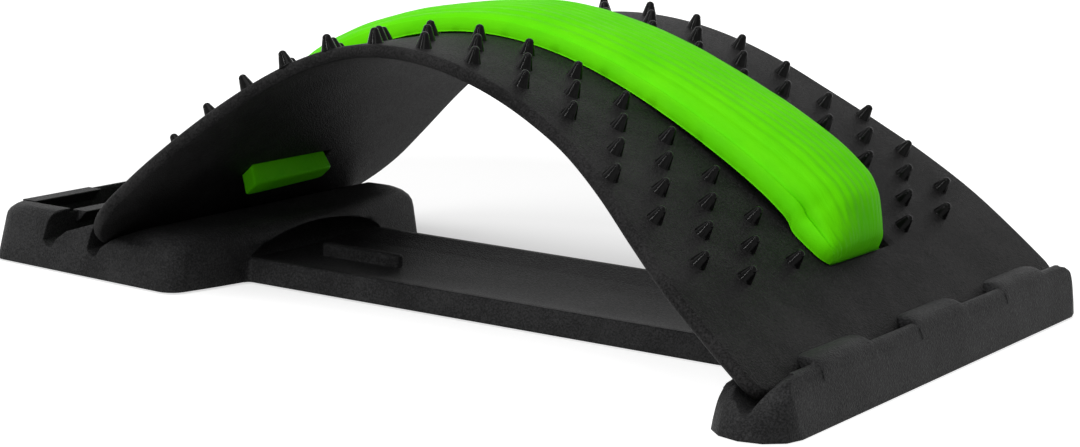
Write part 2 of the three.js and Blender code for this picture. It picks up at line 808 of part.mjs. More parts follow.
function railProfile() {
  const ridge = [rail_ridge_x, rail_ridge];
  const skirt = [base_length - rail_skirt_inset, rail_skirt];
  const over = curvePoints([[wall_top_x, rail_wall_top], [wall_top_x + fit_gap * 4, rail_ridge - fit_gap],
    [rail_ridge_x - rail_ridge_round, rail_ridge], ridge], rail_curve_steps);
  const front = curvePoints([ridge, [rail_ridge_x + rail_ridge_round, rail_ridge],
    [base_length - rail_shoulder_inset, rail_shoulder], skirt], rail_curve_steps);
  return [[rail_start, 0],
    ...arcPoints(rail_lip_x, rail_lip - rail_lip_round, rail_lip_round, 175, 50, rail_curve_steps),
    ...arcPoints(rail_channel_x, rail_channel + rail_channel_round, rail_channel_round, 230, 270, 3),
    [wall_foot_x, rail_wall_foot], ...over, ...front.slice(1), [base_length, 0]];
}

function railPocket() {
  const skin = rail_skin;
  const roof = rail_channel - skin;
  const lipRoof = rail_lip - rail_lip_round - fit_gap * 4;
  const innerWall = (z) => wall_foot_x + skin / Math.sin(wall_turn) + (z - rail_wall_foot) / Math.tan(wall_turn);
  const ridgeRoof = rail_shoulder - skin / 2;
  return [[rail_start + skin, 0], [rail_lip_x - rail_lip_round + skin, lipRoof], [rail_lip_x, lipRoof],
    [rail_channel_x - rail_channel_round, roof], [innerWall(roof), roof],
    [innerWall(ridgeRoof), ridgeRoof], [base_length - rail_shoulder_inset - skin - fit_gap * 2, ridgeRoof],
    [base_length - rail_skirt_inset - skin, rail_skirt - skin], [base_length - skin, 0]];
}

// Raised tab whose lip reaches back over the board's front edge
function tabs() {
  const turn = rad(front_tip_slope);
  const lip = front_tip_x - tab_reach;
  const root = front_tip_x + tab_root_run;
  const foot = front_tip_x + tab_foot_run;
  const above = (x) => front_tip_z + ((tip + tab_gap) + (front_tip_x - x) * Math.sin(turn)) / Math.cos(turn);
  const crown = curvePoints([[foot, tab_foot], [front_tip_x + tab_back_run, tab_top],
    [front_tip_x + tab_crown_run, tab_top + tab_gap], [lip, tab_top - tab_gap]], tab_curve_steps);
  const section = (share) => [[foot, above(root)], ...crown, [lip, above(lip)], [root, above(root)]].map(([x, z]) => [
    Math.max(x, root + (lip - root) * share),
    z > rail_wall_top ? rail_wall_top + (z - rail_wall_top) * (share + 1) / 2 : z,
  ]);
  const spread = [...tab_end_shares.map(([at, share]) => [-at, share]),
    ...[...tab_end_shares].reverse()];
  return [-tab_spacing, 0, tab_spacing].map((middle) => loft(spread.map(([at, share]) => (
    section(share).map(([x, z]) => new THREE.Vector3(x, middle + (at * tab_length) / 2, z))))));
}

// Feet and underside

const foot_places = [
  ['foot_rear_right', rear_foot_x, -rear_foot_y],
  ['foot_rear_left', rear_foot_x, rear_foot_y],
  ['foot_mid_right', mid_foot_x, -mid_foot_y],
  ['foot_mid_left', mid_foot_x, mid_foot_y],
  ['foot_front_right', rail_foot_x, -rail_foot_y],
  ['foot_front_left', rail_foot_x, rail_foot_y],
];

function underside() {
  const low = -overlap_cut;
  const bays = [];
  const skin = wall;
  const grooveFloor = groove_depth - groove_round - skin;
  const deckRoof = block_deck - skin - spine_skin;
  const deckEnd = scoop_x - scoop_reach - skin;
  const bend = Math.min(deck_start, deckEnd - rib);
  const bendRoof = grooveFloor + ((deckRoof - grooveFloor) * (bend - knee_x)) / (deck_start - knee_x);
  if (bend > knee_x + rib) {
    const deckPocket = [[knee_x, low], [knee_x, grooveFloor], [bend, bendRoof], [deckEnd, bendRoof], [deckEnd, low]];
    bays.push(across(deckPocket, -block_front_half, block_front_half));
  }
  for (let i = 1; i < groove_count; i += 1) {
    const shift = i * groove_pitch;
    const from = knee_x - shift;
    const to = ridge_face - shift + groove_pitch - groove_undercut - skin;
    const rise = Math.tan(rad(groove_back_slope));
    const pocket = [[from, low], [from, grooveFloor], [from + rib, knee_z - skin - rib],
      [to, knee_z - skin - rib + rise * (to - from - rib)], [to, low]];
    bays.push(across(pocket, -block_front_half, block_front_half));
  }
  const thin = [[0, low], [0, grooveFloor], [knee_x, grooveFloor], [knee_x, low]];
  bays.push(across(thin, -block_front_half, block_front_half));
  const inner = blockForm(wall, -overlap_cut / 2, block_top - wall, block_edge_round);
  let hollow = join(bays).intersect(inner);
  const webs = [];
  for (const y of [-rear_foot_y / 2, 0, rear_foot_y / 2]) {
    webs.push(boxed(0, block_mid_depth, y - rib / 2, y + rib / 2, low * 2, block_top));
  }
  for (let i = 0; i < groove_count; i += 1) {
    const x = knee_x - i * groove_pitch;
    webs.push(boxed(x - rib / 2, x + rib / 2, -block_front_half, block_front_half, low * 2, block_top));
  }
  webs.forEach((web) => { hollow = hollow.subtract(web); });

  const from = scoop_x + rib;
  const to = rail_start - rib;
  const pitch = (to - from) / web_count;
  const half = spine_lip_inner - rib;
  const cavity = [[half, low], ...troughLine(half, spine_skin), [-half, low]];
  let channel = lengthwise(cavity, scoop_x - scoop_reach, to);
  for (let i = 1; i < web_count; i += 1) {
    const x = from + i * pitch;
    channel = channel.subtract(boxed(x - rib / 2, x + rib / 2, -spine_half, spine_half, low * 2, block_top));
  }
  channel = channel.subtract(boxed(0, base_length, -rib / 2, rib / 2, low * 2, block_top));

  const rail = [...railPocket()].map(([x, z]) => [x, z === 0 ? low : z]);
  const straight = (rail_width - rail_depth) / 2;
  let trough = across(rail, -straight, straight);
  for (let y = -rail_web_pitch * 2; y <= rail_web_pitch * 2; y += rail_web_pitch) {
    trough = trough.subtract(boxed(rail_start, base_length, y - rib / 2, y + rib / 2, low * 2, block_top));
  }
  return [hollow, channel, trough];
}

function baseFrame() {
  const tall = boxed(-overlap_cut, ridge_face, -rail_width, rail_width, -overlap_cut, block_top + overlap_cut);
  const ridged = blockForm(0, 0, block_top, ridge_edge_round).intersect(tall);
  const uncutBlock = blockForm(0, 0, block_deck, block_edge_round).add(ridged);
  const block = grooveCutters().reduce((body, cutter) => body.subtract(cutter), uncutBlock);
  const rail = across(railProfile(), -rail_width, rail_width).intersect(railForm());
  const carved = join([block, spineBody()]).subtract(scoop());
  const uncut = join([carved, ...hooks(), ...junctions(), rail, ...tabs(), bar()]);
  const hollow = underside().reduce((body, pocket) => body.subtract(pocket), uncut);
  const bosses = foot_places.map(([, x, y]) => (
    post(foot_radius + boss_wall, 0, boss_height, x, y, foot_steps).intersect(uncut)));
  let body = join([hollow, ...bosses]);
  const recess = foot_height - floor_gap + fit_gap;
  foot_places.forEach(([, x, y]) => {
    body = body.subtract(post(foot_radius + fit_gap, -overlap_cut, recess, x, y, foot_steps));
  });
  return body;
}

function foot(x, y) {
  const profile = [[0, 0], [foot_radius - foot_round, 0], [foot_radius, foot_round],
    [foot_radius, foot_height - foot_round], [foot_radius - foot_round, foot_height], [0, foot_height]];
  const points = profile.map(([r, z]) => new THREE.Vector2(r, z));
  const geometry = new THREE.LatheGeometry(points, foot_steps);
  geometry.rotateX(Math.PI / 2);
  geometry.translate(x, y, -floor_gap);
  return solid(geometry);
}

// Assembly

const base_finish = new THREE.MeshStandardMaterial({ color: 0x232426, roughness: 0.62, metalness: 0 });
const board_finish = new THREE.MeshStandardMaterial({ color: 0x1c1c1f, roughness: 0.55, metalness: 0 });
const pad_finish = new THREE.MeshStandardMaterial({ color: 0x3fbf1f, roughness: 0.78, metalness: 0 });
const foot_finish = new THREE.MeshStandardMaterial({ color: 0x151515, roughness: 0.85, metalness: 0 });

const model = new THREE.Group();
model.name = 'arched_back_stretcher';

function place(name, body, finish) {
  const geometry = geometryOf(body);
  geometry.translate(-base_length / 2, 0, floor_gap);
  geometry.computeVertexNormals();
  const mesh = new THREE.Mesh(geometry, finish);
  mesh.name = name;
  model.add(mesh);
}

place('base_frame', baseFrame(), base_finish);
place('arch_board', archBoard(), board_finish);
place('foam_pad', foamPad(), pad_finish);
foot_places.forEach(([name, x, y]) => place(name, foot(x, y), foot_finish));

export default model;
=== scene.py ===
import math

import bmesh
import bpy
import numpy as np
from mathutils import Matrix, Vector


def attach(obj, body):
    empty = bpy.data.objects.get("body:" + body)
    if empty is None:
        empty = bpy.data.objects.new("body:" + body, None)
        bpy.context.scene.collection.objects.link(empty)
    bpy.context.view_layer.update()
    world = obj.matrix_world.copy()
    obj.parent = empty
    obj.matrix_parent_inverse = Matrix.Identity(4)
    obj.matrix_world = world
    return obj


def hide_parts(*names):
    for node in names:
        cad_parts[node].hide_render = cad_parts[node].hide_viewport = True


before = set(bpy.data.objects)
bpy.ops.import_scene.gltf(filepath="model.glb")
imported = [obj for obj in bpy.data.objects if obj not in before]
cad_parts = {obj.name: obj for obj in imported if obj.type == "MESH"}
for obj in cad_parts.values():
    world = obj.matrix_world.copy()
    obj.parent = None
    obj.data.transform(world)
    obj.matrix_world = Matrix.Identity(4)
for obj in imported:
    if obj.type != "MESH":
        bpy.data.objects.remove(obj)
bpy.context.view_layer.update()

# Lengths below are in millimetres in the drawing frame of the part: X from the rear edge of the
# base, Z from the bottom edge of the base. at_home() turns them into the metres of the row frame.
# s is the distance along the arch from its rear tip, y runs across and v is -1 to 1 across the pad.

BASE_LENGTH = 387.0
FLOOR_GAP = 0.8

# Board: its slopes at the rear and the front in degrees, the share of its length at which the slope
# turns over and how slowly it does so on both sides, and the centre and slope of each round tip
THICK = 4.93
TIP = THICK / 2
BOARD_WIDTH = 258.4
ARCH_RISE = 90.13
SLOPES = (57.47, 44.34)
TURN, REAR_SPREAD, FRONT_SPREAD = 0.5253, 0.1932, 0.2059
REAR_TIP = (58.9, 14.5, 44.93)
FRONT_TIP = (373.6, 14.06, 39.25)
REAR_CORNER, FRONT_CORNER = 34.0, 9.0
# Share of the way from the rear tip, share of the full width
WIDTHS = np.array([
    [0, 0.768], [0.07, 0.763], [0.13, 0.747], [0.2, 0.707], [0.255, 0.676], [0.3, 0.659],
    [0.335, 0.655], [0.37, 0.659], [0.41, 0.67], [0.46, 0.689], [0.5, 0.704], [0.55, 0.721],
    [0.6, 0.737], [0.65, 0.756], [0.7, 0.781], [0.76, 0.841], [0.82, 0.913], [0.88, 0.968],
    [0.94, 0.99], [1, 1]])
SLOT_LENGTH, SLOT_WIDTH = 9.4, 50.0
REAR_SLOT, FRONT_SLOT_INSET = 33.4, 43.2
NUB_ROWS = (14, 13, 14, 3)
NUB_FRONT_INSET, NUB_REAR_INSET = 41.5, 61.4
NUB_FIRST_COLUMN, NUB_COLUMN_PITCH = 45.6, 17.96
# The rows of nubs drift a little over the crown of the bent board: share of the way, drift forward
NUB_DRIFT = np.array([[0, -2.3], [0.25, -2.9], [0.45, -2.6], [0.65, -1.1], [0.8, 0.4], [1, 1.9]])
# Rows of the board's mesh round each tip, at the rear corners, between and at the front corners
TIP_ROWS, TIP_CLOSE = 8, 0.96
CORNER_ROWS, BOARD_ROWS, FRONT_ROWS = 12, 320, 10
EDGE_STEPS = 13
# A nub: height and radius of its cone, then the quarter circle of its tip
NUB_SIDES = 32
NUB_CONE = [[-0.6, 3.15], [0, 3.05], [0.3, 2.9], [0.8, 2.76], [1.5, 2.56], [2.2, 2.34], [2.9, 2.13],
            [3.6, 1.9], [4.2, 1.69]]
NUB_TIP_FOOT, NUB_TIP_HEIGHT, NUB_TIP_RADIUS, NUB_TIP_STEPS = 4.35, 1.5, 1.63, 7

# Pad: lift off the board, height of the seam, number of ribs, gap to the slots' end walls
PAD_LIFT, PAD_SEAM, PAD_RIBS, PAD_END_GAP = 0.45, 7.2, 11, 0.3
# Share of its thickness at which a thin pad has its seam, lean and swell of the side strip, depth of
# the valley along the seam, height of a rib
PAD_THIN_SEAM, PAD_LEAN, PAD_SWELL, PAD_VALLEY, PAD_RIB_HEIGHT = 0.64, 1.1, 0.5, 1.0, 0.46
# Share of the half-width in which the crown's edge rounds, and how far the crown is set in there
PAD_SHOULDER, PAD_TUCK = 0.05, 1.1
# The crease that draws the seam in: its depth, its distance from the end and its spread
CREASE, CREASE_AT, CREASE_SPREAD = 1.7, 17, 9.0
# How far from the end the puckers reach, and how far the valley stays shallow
END_SPREAD, NOSE_SPREAD = 9.0, 7
PAD_ROWS, PAD_COLUMNS, PAD_CLOSING_ROWS = 460, 151, 12
# Tails: top against the board's top, round of the tip, gaps to the walls of the slot
TAIL_TOP, TAIL_ROUND, TAIL_GAP_ALONG, TAIL_GAP_ACROSS = -0.3, 1.1, 0.5, 0.45
TAIL_CORNER_POWER, TAIL_STEPS, TAIL_SUNK_FROM = 2 / 9, 129, 14

# Form of the pad from its front end back and from its rear end forward: distance from the end, top
# above the board, lift off the board, half-width on the right and on the left side
TOP, LIFT, RIGHT_HALF, LEFT_HALF = 1, 2, 3, 4
PAD_FRONT_FORM = np.array([
    [0, 2.6, 0, 25.5, 14.6], [0.5, 5.0, 0, 26.2, 15.2], [1.5, 7.6, 0.1, 27.4, 16.2],
    [4, 10.8, 0.2, 29, 18.2], [8, 14.2, 0.3, 29.9, 21], [13, 17.7, 0.3, 30.3, 24.8],
    [17, 19.1, 0.6, 30.4, 27.4], [20, 19.6, 1.9, 30.4, 29], [23, 19.8, 2.6, 30.5, 29.9],
    [33, 20, 2.9, 30.6, 30.9], [45, 19, 2.5, 30.7, 31], [60, 17.2, 1.7, 30.9, 31],
    [80, 14.6, 0.8, 31.2, 31.2], [105, 12.1, 0.2, 31.6, 31.6], [130, 10.7, 0, 31.8, 31.8],
    [154, 10.5, 0, 31.8, 31.8]])
PAD_REAR_FORM = np.array([
    [0, 4.4, 0, 24.5, 24.5], [1.5, 5.6, 0, 26, 26], [4, 6.8, 0.1, 28, 28], [8, 7.8, 0.4, 29.5, 29.5],
    [13, 8.4, 1, 30.2, 30.2], [20, 8.8, 2.3, 30.4, 30.4], [30, 9.6, 3, 30.5, 30.5],
    [42, 12.2, 3.4, 30.6, 30.6], [56, 16.2, 3.2, 30.7, 30.7], [75, 15, 2.4, 30.9, 30.9],
    [95, 12, 1.4, 31.2, 31.2], [120, 9.8, 0.4, 31.6, 31.6], [140, 9.9, 0.1, 31.8, 31.8],
    [154, 10.5, 0, 31.8, 31.8]])

# Camera fitted to the photograph: degrees, millimetres and, for the focal length, photo pixels
PHOTO_WIDTH = 1080
AZIMUTH, ELEVATION, ROLL = 31.55, 10.59, 2.25
CAMERA_TARGET, CAMERA_DISTANCE, FOCAL_LENGTH = (212.58, 0, 30.89), 1028.96, 2650.99
SENSOR_WIDTH = 36

# Base: corners of the CAD mesh closer than this become one (metres), faces flatter than this are
# joined and edges sharper than this stay sharp (degrees)
MERGE_DISTANCE, FLAT_ANGLE, SHARP_ANGLE = 0.00013, 0.4, 36


# Mesh helpers

def at_home(points):
    """Drawing frame in mm to row frame in m: shift by half the length, lift by the foot, divide."""
    return (np.asarray(points, float) + (-BASE_LENGTH / 2, 0, FLOOR_GAP)) / 1000


def make_piece(name, points, faces, material, flat=()):
    """Object at the origin from points in metres, faces shaded smooth and faces shaded flat."""
    mesh = bpy.data.meshes.new(name)
    mesh.from_pydata(points.reshape(-1, 3), [], [*faces, *flat])
    mesh.polygons.foreach_set("use_smooth", np.arange(len(mesh.polygons)) < len(faces))
    mesh.materials.append(material)
    mesh.update()
    piece = bpy.data.objects.new(name, mesh)
    bpy.context.scene.collection.objects.link(piece)
    return piece


def grid_faces(rows, columns, wrap=False, start=0):
    """Quads of a grid of rows by columns, closed round the columns when wrap is true."""
    i, j = np.meshgrid(np.arange(rows - 1), np.arange(columns if wrap else columns - 1), indexing="ij")
    k = (j + 1) % columns
    quads = np.stack([i * columns + j, i * columns + k, (i + 1) * columns + k, (i + 1) * columns + j], -1)
    return (quads.reshape(-1, 4) + start).tolist()


def eased(table, at):
    """Smooth curve through a table of pairs: cubic between points, with slopes from the neighbours."""
    x, y = table[:, 0], table[:, 1]
    at = np.clip(at, x[0], x[-1])
    i = np.clip(np.searchsorted(x, at, side="left"), 1, len(x) - 1)
    before, after = np.maximum(i - 2, 0), np.minimum(i + 1, len(x) - 1)
    h = x[i] - x[i - 1]
    t = (at - x[i - 1]) / h
    slope_in = (y[i] - y[before]) / (x[i] - x[before])
    slope_out = (y[after] - y[i - 1]) / (x[after] - x[i - 1])
    return (y[i - 1] * (1 + 2 * t) * (1 - t) ** 2 + y[i] * t * t * (3 - 2 * t)
            + h * slope_in * t * (1 - t) ** 2 - h * slope_out * t * t * (1 - t))


# Camera

def camera_of_the_photo():
    """Camera at the fitted azimuth, elevation and roll round a target on the spine."""
    azimuth, elevation, roll = (math.radians(angle) for angle in (AZIMUTH, ELEVATION, ROLL))
    target = Vector(at_home(CAMERA_TARGET).tolist())
    back = Vector((math.sin(azimuth) * math.cos(elevation), -math.cos(azimuth) * math.cos(elevation),
                   math.sin(elevation)))
    right = Vector((math.cos(azimuth), math.sin(azimuth), 0))
    up = back.cross(right)
    turned_right = right * math.cos(roll) + up * math.sin(roll)
    turned_up = up * math.cos(roll) - right * math.sin(roll)
    data = bpy.data.cameras.new("photo_camera")
    data.sensor_width = SENSOR_WIDTH
    data.sensor_fit = "HORIZONTAL"
    data.lens = SENSOR_WIDTH * FOCAL_LENGTH / PHOTO_WIDTH
    data.clip_end = 50
    camera = bpy.data.objects.new("photo_camera", data)
    axes = Matrix((turned_right, turned_up, back)).transposed()
    camera.matrix_world = Matrix.Translation(target + back * CAMERA_DISTANCE / 1000) @ axes.to_4x4()
    bpy.context.scene.collection.objects.link(camera)
    bpy.context.scene.camera = camera


camera_of_the_photo()


# The arch

def arch_curve(samples=4000):
    """Top line of the board. Its slope falls by a smooth step along the arc; the sum of that slope
    is laid on the chord between the two tips and scaled to the rise."""
    start = np.array([REAR_TIP[0] - TIP * math.sin(math.radians(REAR_TIP[2])),
                      REAR_TIP[1] + TIP * math.cos(math.radians(REAR_TIP[2]))])
    end = np.array([FRONT_TIP[0] + TIP * math.sin(math.radians(FRONT_TIP[2])),
                    FRONT_TIP[1] + TIP * math.cos(math.radians(FRONT_TIP[2]))])
    t = (np.arange(samples) + 0.5) / samples
    mean, swing = (SLOPES[0] - SLOPES[1]) / 2, (SLOPES[0] + SLOPES[1]) / 2
    slope = np.radians(mean - swing * np.tanh((t - TURN) / np.where(t < TURN, REAR_SPREAD, FRONT_SPREAD)))
    x = np.r_[0, np.cumsum(np.cos(slope))]
    z = np.r_[0, np.cumsum(np.sin(slope))]
    share = x / x[-1]
    level = z - z[-1] * share
    line = start + (end - start) * share[:, None]
    line[:, 1] += ARCH_RISE * level / level.max()
    s = np.r_[0, np.cumsum(np.hypot(*np.diff(line, axis=0).T))]
    return line, s


LINE, ALONG = arch_curve()
ARC = ALONG[-1]
FRONT_SLOT = ARC - FRONT_SLOT_INSET
NUB_FIRST_ROW = ARC - NUB_FRONT_INSET
NUB_ROW_PITCH = (NUB_FIRST_ROW - NUB_REAR_INSET) / (NUB_ROWS[0] - 1)
PAD_REAR, PAD_FRONT = REAR_SLOT + PAD_END_GAP, FRONT_SLOT + SLOT_LENGTH - PAD_END_GAP
TURNS = np.unwrap(np.arctan2(*np.gradient(LINE, ALONG, axis=0).T[::-1]))


def on_arch(s, y, height):
    """Point at arc distance s, across y and height above the board's top, square to the board."""
    s, y, height = np.broadcast_arrays(np.asarray(s, float), y, height)
    held = np.clip(s, 0, ARC)
    turn = np.interp(held, ALONG, TURNS)
    over = s - held
    x = np.interp(held, ALONG, LINE[:, 0]) + over * np.cos(turn) - height * np.sin(turn)
    z = np.interp(held, ALONG, LINE[:, 1]) + over * np.sin(turn) + height * np.cos(turn)
    return np.stack([x, y, z], -1)


def square_on(centre, s, y, height):
    """Point in the flat frame that stands square on the board at the arc distance of the centre."""
    along, y, height = np.broadcast_arrays(s - centre, y, height)
    turn = np.interp(centre, ALONG, TURNS)
    x0 = np.interp(centre, ALONG, LINE[:, 0])
    z0 = np.interp(centre, ALONG, LINE[:, 1])
    return np.stack([x0 + along * np.cos(turn) - height * np.sin(turn), y,
                     z0 + along * np.sin(turn) + height * np.cos(turn)], -1)


def half_width(s):
    """Half the board's width: the waisted table, with a quarter circle taken off each end corner."""
    plain = BOARD_WIDTH / 2 * eased(WIDTHS, np.clip(s / ARC, 0, 1))
    for edge, radius in ((s + TIP, REAR_CORNER), (ARC + TIP - s, FRONT_CORNER)):
        near = np.clip(radius - edge, 0, radius)
        plain = plain - radius + np.sqrt(radius ** 2 - near ** 2)
    return plain


def board_stations():
    """Arc distances of the rows and the board's half-thickness there, closing to the round tips."""
    bend = np.linspace(1, 0, TIP_ROWS)[:-1] * math.pi / 2 * TIP_CLOSE
    middle = np.r_[np.linspace(0, REAR_CORNER, CORNER_ROWS)[:-1],
                   np.linspace(REAR_CORNER, ARC - FRONT_CORNER, BOARD_ROWS)[:-1],
                   np.linspace(ARC - FRONT_CORNER, ARC, FRONT_ROWS)]
    for cut in (REAR_SLOT, REAR_SLOT + SLOT_LENGTH, FRONT_SLOT, FRONT_SLOT + SLOT_LENGTH):
        middle[np.argmin(abs(middle - cut))] = cut
    s = np.r_[-TIP * np.sin(bend), middle, ARC + TIP * np.sin(bend[::-1])]
    half = np.r_[TIP * np.cos(bend), np.full(len(middle), TIP), TIP * np.cos(bend[::-1])]
    return s, half


def board_plate(material):
    """Sweep of a flat bar with round edges along the arch. Each row goes across the top, round one
    edge, back under and round the other. The two slots are left out of top and bottom and walled."""
    s, half = board_stations()
    inner = np.array([0, 0.25, 0.5, 0.75])
    outer = np.array([0, 0.06, 0.3, 0.6, 0.85, 1])
    flat = half_width(s) - TIP
    right = SLOT_WIDTH / 2 + outer * (flat - SLOT_WIDTH / 2)[:, None]
    middle = np.broadcast_to(inner * SLOT_WIDTH / 2, (len(s), len(inner)))
    one_side = np.concatenate([middle, right], 1)
    across = np.concatenate([-one_side[:, :0:-1], one_side], 1)
    count = across.shape[1]
    turn = np.linspace(0, math.pi, EDGE_STEPS)[1:-1]
    edge = flat[:, None] + TIP * np.sin(turn)
    y = np.concatenate([across, edge, across[:, ::-1], -edge], 1)
    lift = np.concatenate([np.ones(count), np.cos(turn), -np.ones(count), -np.cos(turn)])
    height = half[:, None] * lift - TIP
    rows, columns = y.shape
    points = on_arch(s[:, None], y, height)
    faces = np.array(grid_faces(rows, columns, wrap=True))
    # The slots' columns on top, and where their mirror image starts on the underside
    first = (count - 1) // 2 - len(inner)
    last = count - 1 - first
    under = count + len(turn)
    keep = np.ones(len(faces), bool)
    row, column = np.divmod(np.arange(len(faces)), columns)
    walls = []
    for cut in (REAR_SLOT, FRONT_SLOT):
        a = int(np.argmin(abs(s - cut)))
        b = int(np.argmin(abs(s - cut - SLOT_LENGTH)))
        for skip in (0, under):
            keep &= ~((row >= a) & (row < b) & (column >= skip + first) & (column < skip + last))
        flip = under + count - 1
        loop = [(a, j) for j in range(first, last)] + [(i, last) for i in range(a, b)]
        loop += [(b, j) for j in range(last, first, -1)] + [(i, first) for i in range(b, a, -1)]
        for (i, j), (m, n) in zip(loop, loop[1:] + loop[:1]):
            walls.append([i * columns + flip - j, m * columns + flip - n, m * columns + n, i * columns + j])
    faces = faces[keep][:, ::-1].tolist()
    ends = [list(range(columns)), list(range((rows - 1) * columns, rows * columns))[::-1]]
    return make_piece("board_plate", at_home(points), faces + ends, material, flat=walls)


def nub_places():
    """Staggered grid: odd columns sit half a row pitch nearer the rear, and each row drifts."""
    places = []
    for column, rows in enumerate(NUB_ROWS):
        first = NUB_FIRST_ROW - (column % 2) * NUB_ROW_PITCH / 2
        s = first - np.arange(rows) * NUB_ROW_PITCH
        s = s + eased(NUB_DRIFT, (s - NUB_REAR_INSET) / (NUB_FIRST_ROW - NUB_REAR_INSET))
        y = NUB_FIRST_COLUMN + column * NUB_COLUMN_PITCH
        for side in (1, -1):
            places.append(np.stack([s, np.full(rows, side * y)], 1))
    return np.concatenate(places)


def nubs(material):
    """Bullet-shaped pegs: each is a turned profile, a straight cone under a broad quarter circle."""
    bend = np.linspace(0, 1, NUB_TIP_STEPS) * math.pi / 2
    tip = np.stack([NUB_TIP_FOOT + NUB_TIP_HEIGHT * np.sin(bend), NUB_TIP_RADIUS * np.cos(bend)], 1)
    profile = np.concatenate([NUB_CONE, tip])
    height, radius = profile[:-1].T[:, None, :, None]
    turn = np.arange(NUB_SIDES) * 2 * math.pi / NUB_SIDES
    s, y = nub_places().T[:, :, None, None]
    shell = square_on(s, s + radius * np.cos(turn), y + radius * np.sin(turn), height)
    shell = shell.reshape(len(s), -1, 3)
    top = on_arch(s[:, 0], y[:, 0], profile[-1, 0])
    bottom = on_arch(s[:, 0], y[:, 0], profile[0, 0])
    points = np.concatenate([shell, top, bottom], 1)
    rings = len(profile) - 1
    crown = rings * NUB_SIDES
    one = grid_faces(rings, NUB_SIDES, wrap=True)
    for j in range(NUB_SIDES):
        k = (j + 1) % NUB_SIDES
        one += [[crown - NUB_SIDES + j, crown - NUB_SIDES + k, crown], [k, j, crown + 1]]
    faces = []
    for shift in range(0, len(s) * points.shape[1], points.shape[1]):
        faces += [[corner + shift for corner in face] for face in one]
    return make_piece("nubs", at_home(points), faces, material)


# Foam pad

def pad_form(s, column):
    """One column of the pad's form at arc distance s: the rear table as far as the middle of the
    pad, the front table after it, each read by the distance from its own end."""
    behind = eased(PAD_REAR_FORM[:, [0, column]], s - PAD_REAR)
    ahead = eased(PAD_FRONT_FORM[:, [0, column]], PAD_FRONT - s)
    return np.where(s < (PAD_REAR + PAD_FRONT) / 2, behind, ahead)


def pad_rows():
    """Arc distances of the pad's rows, closer together near its ends, and how far each row is open:
    the last rows at both ends close the pad down to its underside."""
    t = np.linspace(0, 1, PAD_ROWS)
    run = PAD_REAR + (PAD_FRONT - PAD_REAR) * (0.3 * t + 0.7 * (1 - np.cos(math.pi * t)) / 2)
    close = np.sin(np.linspace(0.04, 1, PAD_CLOSING_ROWS)[:-1] * math.pi / 2)
    s = np.r_[np.full(len(close), PAD_REAR), run, np.full(len(close), PAD_FRONT)]
    return s, np.r_[close, np.ones(len(run)), close[::-1]]


def pad_relief(s, v, to_end):
    """What stands on the crown: even ribs that fade at the ends, two slow waves of the foam, and
    the puckers that gather at the ends, most of all at the right corner."""
    end = np.exp(-(to_end / END_SPREAD) ** 2)
    ribs = PAD_RIB_HEIGHT * (0.5 + 0.5 * np.cos(v * PAD_RIBS * math.pi)) ** 0.8 * (1 - end)
    wave = 0.12 * np.sin(s * 0.11 + v * 2.0) + 0.06 * np.sin(s * 0.31 - v * 5)
    corner = np.exp(-((v + 0.86) / 0.2) ** 2) + 0.5 * np.exp(-((v - 0.86) / 0.2) ** 2)
    gather = end * (0.07 + 0.36 * corner) * np.sin(v * 58 + 1.5 * np.sin(v * 13) + to_end * 0.45)
    return ribs + wave * (1 - v ** 4) + gather * (1 - abs(v) ** 14)


